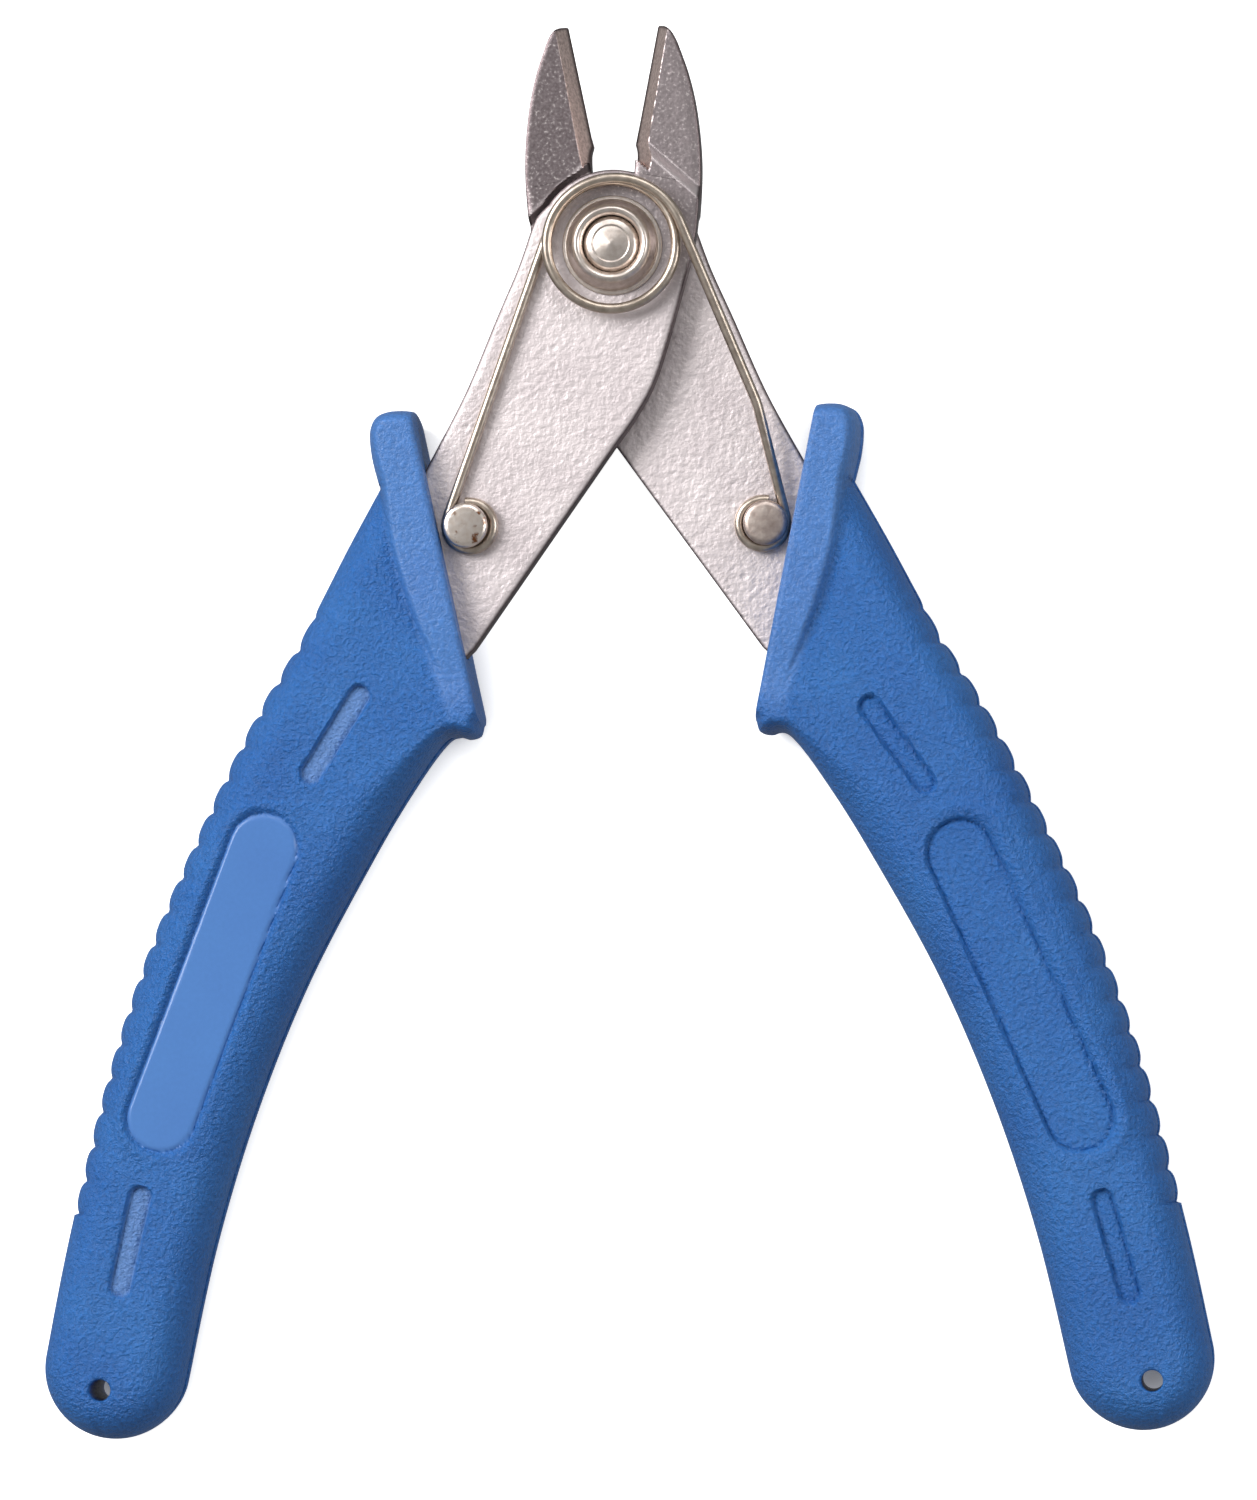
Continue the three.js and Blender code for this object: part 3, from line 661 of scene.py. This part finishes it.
def post_profile(plate_top):
    """A post's shank, and a head with a rounded rim and a slightly domed top."""
    low, head = plate_top - 2.4, plate_top + 1.15
    corners = [(0.1, low), (1.15, low), (1.15, head), (1.95, head), (1.95, head + 0.72),
               (1.62, head + 0.93), (0.8, head + 0.98)]
    return np.vstack([[(0, low)], eased(corners, 0.2), [(0, head + 1.0)]])


posts = {"front": turned_piece("left_spring_post_turning", post_profile(PLATE_HIGH), left_post_at, 96),
         "rear": turned_piece("right_spring_post_turning", post_profile(-PLATE_LOW), right_post_at, 96)}

# %% The spring's path
WIRE = 0.45
COIL, EYE = 5.65, 2.1
EYE_SHIFT = (0.3, 0)  # an eye is wider than its post's shank, so it sits off centre
left_eye, right_eye = left_post_at + EYE_SHIFT, right_post_at - EYE_SHIFT
LEFT_EYE_TURN, RIGHT_EYE_TURN = math.radians(300), math.radians(298)
KINK = np.array([12.45, -14.0])
RELEASE, OPENS = 6.3, 1.9  # the front turn opens to this radius over its last 1.9 radians
LEFT_Z, RIGHT_Z = 3.17, 0.5


def tangent_angle(c1, r1, c2, r2, side):
    """The angle, seen from both centres, at which one straight line touches both circles."""
    d = np.asarray(c2) - c1
    return (math.atan2(d[1], d[0]) + side * math.acos((r1 - r2) / np.hypot(*d))) % (2 * math.pi)


def wound(centre, radii, turn, heights):
    """Points along a turn of wire, a third of a millimetre apart, with a steady rise. The radius
    goes from one value to the next as the square of the way, so it starts to grow gently."""
    t = np.linspace(0, 1, int(abs(turn[1] - turn[0]) * radii[0] / 0.33) + 2)
    angle = turn[0] + (turn[1] - turn[0]) * t
    radius = radii[0] + (radii[1] - radii[0]) * t * t
    return np.stack([centre[0] + radius * np.cos(angle), centre[1] + radius * np.sin(angle),
                     heights[0] + (heights[1] - heights[0]) * t], -1)


left_touch = tangent_angle((0, 0), COIL, left_eye, EYE, -1)
right_touch = tangent_angle((0, 0), RELEASE, KINK, 0, 1)
eye_touch = tangent_angle(KINK, 0, right_eye, EYE, 1)
turns_end = right_touch - 2 * math.pi
coil_top = LEFT_Z + (left_touch - turns_end) / (2 * math.pi)
opens_at, opens_z = turns_end + OPENS, coil_top - OPENS / (2 * math.pi)
way = np.vstack([
    wound(left_eye, (EYE, EYE), (left_touch + LEFT_EYE_TURN, left_touch), (LEFT_Z, LEFT_Z)),
    wound((0, 0), (COIL, COIL), (left_touch, opens_at), (LEFT_Z, opens_z)),
    wound((0, 0), (COIL, RELEASE), (opens_at, turns_end), (opens_z, coil_top))[1:],
    [(*KINK, (coil_top + RIGHT_Z) / 2)],
    wound(right_eye, (EYE, EYE), (eye_touch, eye_touch - RIGHT_EYE_TURN), (RIGHT_Z, RIGHT_Z))])
print("spring wire is", round(float(np.linalg.norm(np.diff(way, axis=0), axis=1).sum()), 1), "mm long")


# %% The spring
PATH_STEP, SOFTENINGS = 0.16, 14
CUT_FACE, CUT_LENGTH = np.array([0.0, 0.6, 0.9])[:, None, None], 0.03  # the wire's cut end, in rings


def even_path(points, step):
    """The path with a point at every step of its length, and its sharp turns softened by averaging
    each point with its neighbours a few times."""
    s = np.r_[0, np.cumsum(np.linalg.norm(np.diff(points, axis=0), axis=1))]
    walked = np.linspace(0, s[-1], int(s[-1] / step))
    path = np.stack([np.interp(walked, s, points[:, k]) for k in range(3)], -1)
    for _ in range(SOFTENINGS):
        path[1:-1] = path[1:-1] / 2 + (path[:-2] + path[2:]) / 4
    return path


def wire_rings(path, radius, around=28):
    """Circles square to the path. Their first direction is the cross of the path with a fixed
    vertical, which never lies along it. At both ends the circles shrink to a cut face."""
    forward = np.gradient(path, axis=0)
    forward /= np.linalg.norm(forward, axis=1, keepdims=True)
    side = np.cross(forward, (0, 0, 1.0))
    side /= np.linalg.norm(side, axis=1, keepdims=True)
    up = np.cross(side, forward)
    angle = np.linspace(0, 2 * math.pi, around, endpoint=False)[None, :, None]
    rings = path[:, None] + radius * (np.cos(angle) * side[:, None] + np.sin(angle) * up[:, None])
    first = path[0] + (rings[0] - path[0]) * CUT_FACE - forward[0] * CUT_LENGTH
    last = path[-1] + (rings[-1] - path[-1]) * CUT_FACE[::-1] + forward[-1] * CUT_LENGTH
    return np.concatenate([first, rings, last])


rings = wire_rings(even_path(way, PATH_STEP), WIRE)
spring = surface("torsion_spring_wire", (rings + PIVOT) * MM, SOFT_ANGLE)

# %% [markdown]
# ## Finishes
# Colours are sRGB hex values, turned to linear light by one function. One function adds a node,
# sets its properties and values and links its inputs. Sizes of patterns are in millimetres: a
# texture's scale on Object coordinates is one over the size in metres.

# %% Colours and nodes
def colour(hex_value):
    """sRGB hex to linear RGBA."""
    c = np.array([int(hex_value[k:k + 2], 16) for k in (0, 2, 4)]) / 255
    linear = np.where(c <= 0.04045, c / 12.92, ((c + 0.055) / 1.055) ** 2.4)
    return (*linear.tolist(), 1.0)


def per_mm(size):
    """A texture's scale for details of this size."""
    return 1 / (size * MM)


def node(tree, kind, inputs=None, stops=None, **settings):
    """Adds a node, sets its properties and a ramp's stops, and gives each input a value or a link."""
    new = tree.nodes.new(kind)
    for key, value in settings.items():
        setattr(new, key, value)
    if stops:
        ramp = new.color_ramp.elements
        while len(ramp) < len(stops):
            ramp.new(1.0)
        for element, (place, value) in zip(ramp, stops):
            element.position = place
            element.color = value if isinstance(value, tuple) else (value, value, value, 1)
    for key, value in (inputs or {}).items():
        if isinstance(value, bpy.types.NodeSocket):
            tree.links.new(value, new.inputs[key])
        else:
            new.inputs[key].default_value = value
    return new


def noise(tree, place, size, detail, **more):
    """A noise whose details have this size in millimetres."""
    values = {"Vector": place, "Scale": per_mm(size), "Detail": detail, **more}
    return node(tree, "ShaderNodeTexNoise", values).outputs["Fac"]


def ramp(tree, value, *stops):
    """Colours or greys along a value."""
    return node(tree, "ShaderNodeValToRGB", {"Fac": value}, stops=stops).outputs["Color"]


def maths(tree, operation, *values):
    """One sum on values or links."""
    return node(tree, "ShaderNodeMath", dict(enumerate(values)), operation=operation).outputs[0]


def from_to(tree, value, start, end):
    """A number that goes from start to end as the value goes from 0 to 1."""
    return node(tree, "ShaderNodeMapRange", {"Value": value, "To Min": start, "To Max": end}).outputs[0]


def mixed(tree, share, below, above, **settings):
    """Two colours mixed, with this share of the second."""
    return node(tree, "ShaderNodeMix", {0: share, 6: below, 7: above}, data_type="RGBA",
                **settings).outputs[2]


def painted(tree, *keys):
    """The numbers that a mesh carries at its points under these names."""
    return [node(tree, "ShaderNodeAttribute", attribute_name=key).outputs["Fac"] for key in keys]


def dented(tree, shader, height, strength, depth):
    """Turns the shader's normals as if the surface had these heights, to a depth in millimetres."""
    bump = node(tree, "ShaderNodeBump", {"Height": height, "Strength": strength, "Distance": depth * MM})
    tree.links.new(bump.outputs[0], shader.inputs["Normal"])


def new_material(name):
    """An empty material with its output, a Principled shader and Object coordinates."""
    material = bpy.data.materials.new(name)
    material.use_nodes = True
    tree = material.node_tree
    tree.nodes.clear()
    shader = node(tree, "ShaderNodeBsdfPrincipled")
    node(tree, "ShaderNodeOutputMaterial", {"Surface": shader.outputs[0]})
    place = node(tree, "ShaderNodeTexCoord").outputs["Object"]
    return material, tree, shader, place


# %% Moulded plastic
def moulded_plastic(name, light, mid, dark):
    """Polypropylene moulded in a spark-eroded tool: a fine even grain that breaks the light into
    small glints. The guard is smoother, and paler as a painted highlight. One face's panel is given a
    polish in the tool and is paler as a painted sheen, and that face's slots have pale floors, painted
    as the glints of their grain."""
    material, tree, shader, place = new_material(name)
    guard, glossy, sunk = painted(tree, "guard", "glossy", "sunk")
    grain = noise(tree, place, 0.38, 3.0, Roughness=0.65)
    body = ramp(tree, noise(tree, place, 9, 2.0), (0.3, colour(dark)), (0.72, colour(mid)))
    # The guard is made paler, a painted highlight.
    painted_guard_highlight = maths(tree, "MULTIPLY", guard, 0.3)
    # The polished panel is made paler, a painted sheen.
    polished_sheen = maths(tree, "MULTIPLY", glossy, 0.42)
    # The slots' floors are made paler too, painted as the glints of their grain.
    pale = maths(tree, "MAXIMUM", maths(tree, "MAXIMUM", painted_guard_highlight, polished_sheen), sunk)
    tint = mixed(tree, pale, body, colour(light))
    speck = ramp(tree, grain, (0.32, 0.82), (0.50, 0.98), (0.68, 1.18))
    base = mixed(tree, from_to(tree, glossy, 0.85, 0.15), tint, speck, blend_type="MULTIPLY")
    tree.links.new(base, shader.inputs["Base Color"])
    tree.links.new(from_to(tree, glossy, 0.40, 0.28), shader.inputs["Roughness"])
    calm = maths(tree, "MAXIMUM", maths(tree, "MULTIPLY", guard, 0.55), glossy)
    dented(tree, shader, grain, maths(tree, "SUBTRACT", 1.0, calm), 0.42)
    shader.inputs["IOR"].default_value = 1.49
    return material


grip_plastic = moulded_plastic("grip_plastic_spark_eroded_grain", "6C92CA", "2B6DB6", "2061AC")


# %% Stamped steel
def stamped_steel():
    """Stainless strip, punched, coined and tumbled with stones: bright and dimpled like orange peel,
    so it glints from every side, with a few pits. The jaws are smoother and darker, partly their own
    darker finish and partly painted shade for the darker surroundings they reflect, and their fine
    bright specks are painted glints. On the front blade the darkening starts on the disc under the coil,
    as painted shade, is lifted on the joggle ramp as a painted highlight, and is lighter on the jaw, as
    painted light. The sheared rims are darkened as painted shade, and the cutting faces are ground."""
    material, tree, shader, place = new_material("stainless_steel_stamped_and_tumbled")
    jaw, ground, rim = painted(tree, "jaw", "ground", "rim")
    peel = noise(tree, place, 0.55, 3.0, Roughness=0.5)
    fine = noise(tree, place, 0.26, 2.0)
    tone = ramp(tree, noise(tree, place, 5.0, 2.0), (0.3, colour("DBD1D2")), (0.7, colour("E9E0E0")))
    # The jaw's tint is darker, partly its own finish and partly painted shade, and its brightest specks are
    # painted glints.
    dark = ramp(tree, fine, (0.35, colour("8A7E80")), (0.6, colour("A19597")), (0.72, colour("E6DCDA")))
    cut = ramp(tree, fine, (0.36, colour("C0AEA8")), (0.62, colour("E0CFC9")))
    faces = mixed(tree, ground, mixed(tree, jaw, tone, dark), cut)
    # The rim band is darkened towards a brown grey, as painted shade.
    base = mixed(tree, maths(tree, "MULTIPLY", rim, 0.95), faces, colour("5A4F50"))
    tree.links.new(base, shader.inputs["Base Color"])
    shader.inputs["Metallic"].default_value = 1.0
    rough = node(tree, "ShaderNodeMix", {0: ground, 2: from_to(tree, jaw, 0.56, 0.34), 3: 0.5},
                 data_type="FLOAT")
    tree.links.new(rough.outputs[0], shader.inputs["Roughness"])
    pits = node(tree, "ShaderNodeTexVoronoi", {"Vector": place, "Scale": per_mm(2.3)})
    pit = ramp(tree, pits.outputs["Distance"], (0.07, 0.0), (0.17, 1.0))
    height = maths(tree, "MULTIPLY_ADD", pit, 0.3, peel)
    dented(tree, shader, height, from_to(tree, jaw, 1.0, 0.25), 0.09)
    return material


blade_steel = stamped_steel()


# %% Turned steel, post heads and spring wire
def plain_steel(name, tint, rough, grain, depth, rust=None):
    """Steel with a fine finish: a noise of the given grain mixes its two tints and dents it to the
    given depth. Rust, where there is any, is brown specks where a second noise is high."""
    material, tree, shader, place = new_material(name)
    shader.inputs["Metallic"].default_value = 1.0
    shader.inputs["Roughness"].default_value = rough
    marks = noise(tree, place, grain, 2.0)
    tone = ramp(tree, marks, (0.3, colour(tint[0])), (0.7, colour(tint[1])))
    if rust:
        spots = ramp(tree, noise(tree, place, 0.9, 4.0), (0.58, 0.0), (0.66, 1.0))
        tone = mixed(tree, spots, tone, colour(rust))
    tree.links.new(tone, shader.inputs["Base Color"])
    dented(tree, shader, marks, 0.6, depth)
    return material


# The rivet and collar are pale and shine softly. One post is bright and has begun to rust, the other
# is greyer and duller. The wire is darker and nearly free of marks, so its highlight is an even line.
turned_steel = plain_steel("rivet_steel_turned", ("D6C9BF", "EADFD7"), 0.34, 0.5, 0.03)
bright_post = plain_steel("post_steel_cold_headed_bright", ("E6D8CC", "F4EAE2"), 0.3, 0.5, 0.03, "8A5A3C")
dull_post = plain_steel("post_steel_cold_headed_dull", ("A8978F", "CDBFB6"), 0.42, 0.6, 0.05)
spring_steel = plain_steel("spring_wire_bright_drawn", ("AFA193", "CDC0B3"), 0.33, 0.7, 0.004)

# %% [markdown]
# ## Putting it together
# Each piece gets its finish, takes the place of its CAD part and rides on that part's body.

# %% Finishes and bodies
assembly = [
    (blades["front"], blade_steel, "front_blade", "front_lever", "blade_steel"),
    (blades["rear"], blade_steel, "rear_blade", "rear_lever", "blade_steel"),
    (grips["front"], grip_plastic, "left_grip", "front_lever", "grip_plastic"),
    (grips["rear"], grip_plastic, "right_grip", "rear_lever", "grip_plastic"),
    (rivet, turned_steel, "pivot_rivet", "rear_lever", "rivet_steel"),
    (collar, turned_steel, "pivot_collar", "rear_lever", "rivet_steel"),
    (posts["front"], bright_post, "left_spring_post", "front_lever", "post_steel"),
    (posts["rear"], dull_post, "right_spring_post", "rear_lever", "post_steel"),
    (spring, spring_steel, "torsion_spring", None, "spring_wire"),
]
for piece, finish, cad_node, body, slot in assembly:
    piece.data.materials.clear()
    piece.data.materials.append(finish)
    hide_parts(cad_node)
    if body:
        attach(piece, body)
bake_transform(spring)

# %% [markdown]
# ## Floor, light and camera
# The pliers lie under very soft light on a white card, which also gives off light of its own: less
# where something stands close to it, so narrow gaps look dark. The camera looks almost straight down,
# leaning a little to the right and towards the handles.

# %% Floor and light
FLOOR_HALF, FLOOR_GLOW, SHADE_REACH = 2, 0.85, 2.5 * MM
floor_mesh = bpy.data.meshes.new("floor")
corners = [(x * FLOOR_HALF, y * FLOOR_HALF, 0) for x, y in ((-1, -1), (1, -1), (1, 1), (-1, 1))]
floor_mesh.from_pydata(corners, [], [(0, 1, 2, 3)])
floor = bpy.data.objects.new("floor", floor_mesh)
bpy.context.scene.collection.objects.link(floor)
floor_paint, tree, shader, place = new_material("floor_white_card")
shader.inputs["Base Color"].default_value = colour("F7F7F7")
shader.inputs["Roughness"].default_value = 0.9
shader.inputs["Emission Color"].default_value = colour("FFFFFF")
shade = node(tree, "ShaderNodeAmbientOcclusion", {"Distance": SHADE_REACH})
tree.links.new(maths(tree, "MULTIPLY", shade.outputs["AO"], FLOOR_GLOW), shader.inputs["Emission Strength"])
floor.data.materials.append(floor_paint)
floor.visible_diffuse = False
floor.visible_glossy = False

world = bpy.data.worlds.new("studio")
bpy.context.scene.world = world
world.use_nodes = True
sky = world.node_tree
sky.nodes.clear()
ray = node(sky, "ShaderNodeTexCoord").outputs["Generated"]
height_of_ray = node(sky, "ShaderNodeSeparateXYZ", {"Vector": ray}).outputs["Z"]
tent = ramp(sky, height_of_ray, (0.0, 0.26), (0.3, 0.34), (0.85, 0.30))
glow = node(sky, "ShaderNodeBackground", {"Color": tent, "Strength": 1.0})
node(sky, "ShaderNodeOutputWorld", {"Surface": glow.outputs[0]})


def soft_box(name, where, size, power):
    """A square area light at a place, turned to face the middle of the floor."""
    light = bpy.data.lights.new(name, "AREA")
    light.size, light.energy = size, power
    lamp = bpy.data.objects.new(name, light)
    lamp.location = where
    lamp.rotation_euler = (-Vector(where)).to_track_quat("-Z", "Y").to_euler()
    bpy.context.scene.collection.objects.link(lamp)


soft_box("soft_box_left", (-0.55, 0.3, 0.55), 0.45, 6.6)
soft_box("soft_box_right", (0.75, 0.1, 0.5), 0.4, 2.2)
soft_box("soft_box_behind", (0.1, 0.7, 0.6), 0.5, 2.2)

# %% Camera
DISTANCE = 0.75
VIEW_HEIGHT = 130.8 * MM
LEAN_RIGHT, LEAN_DOWN, ROLL = math.radians(4.5), math.radians(2.5), math.radians(0.65)
AIM_RIGHT, AIM_DOWN = 0.7, 43.9  # from the pivot, in millimetres
SENSOR = 24
target = Vector(((PIVOT[0] + AIM_RIGHT) * MM, (PIVOT[1] - AIM_DOWN) * MM, PIVOT[2] * MM))
towards = Vector((math.sin(LEAN_RIGHT), -math.sin(LEAN_DOWN), 1)).normalized()
up = Vector((math.sin(ROLL), math.cos(ROLL), 0))
right = up.cross(towards).normalized()
up = towards.cross(right)
lens = bpy.data.cameras.new("camera")
lens.sensor_fit = "VERTICAL"
lens.sensor_height = SENSOR
lens.lens = SENSOR * DISTANCE / VIEW_HEIGHT
camera = bpy.data.objects.new("camera", lens)
turned = Matrix((right, up, towards)).transposed().to_4x4()
camera.matrix_world = Matrix.Translation(target + towards * DISTANCE) @ turned
bpy.context.scene.collection.objects.link(camera)
bpy.context.scene.camera = camera
bpy.context.scene.view_settings.view_transform = "Standard"
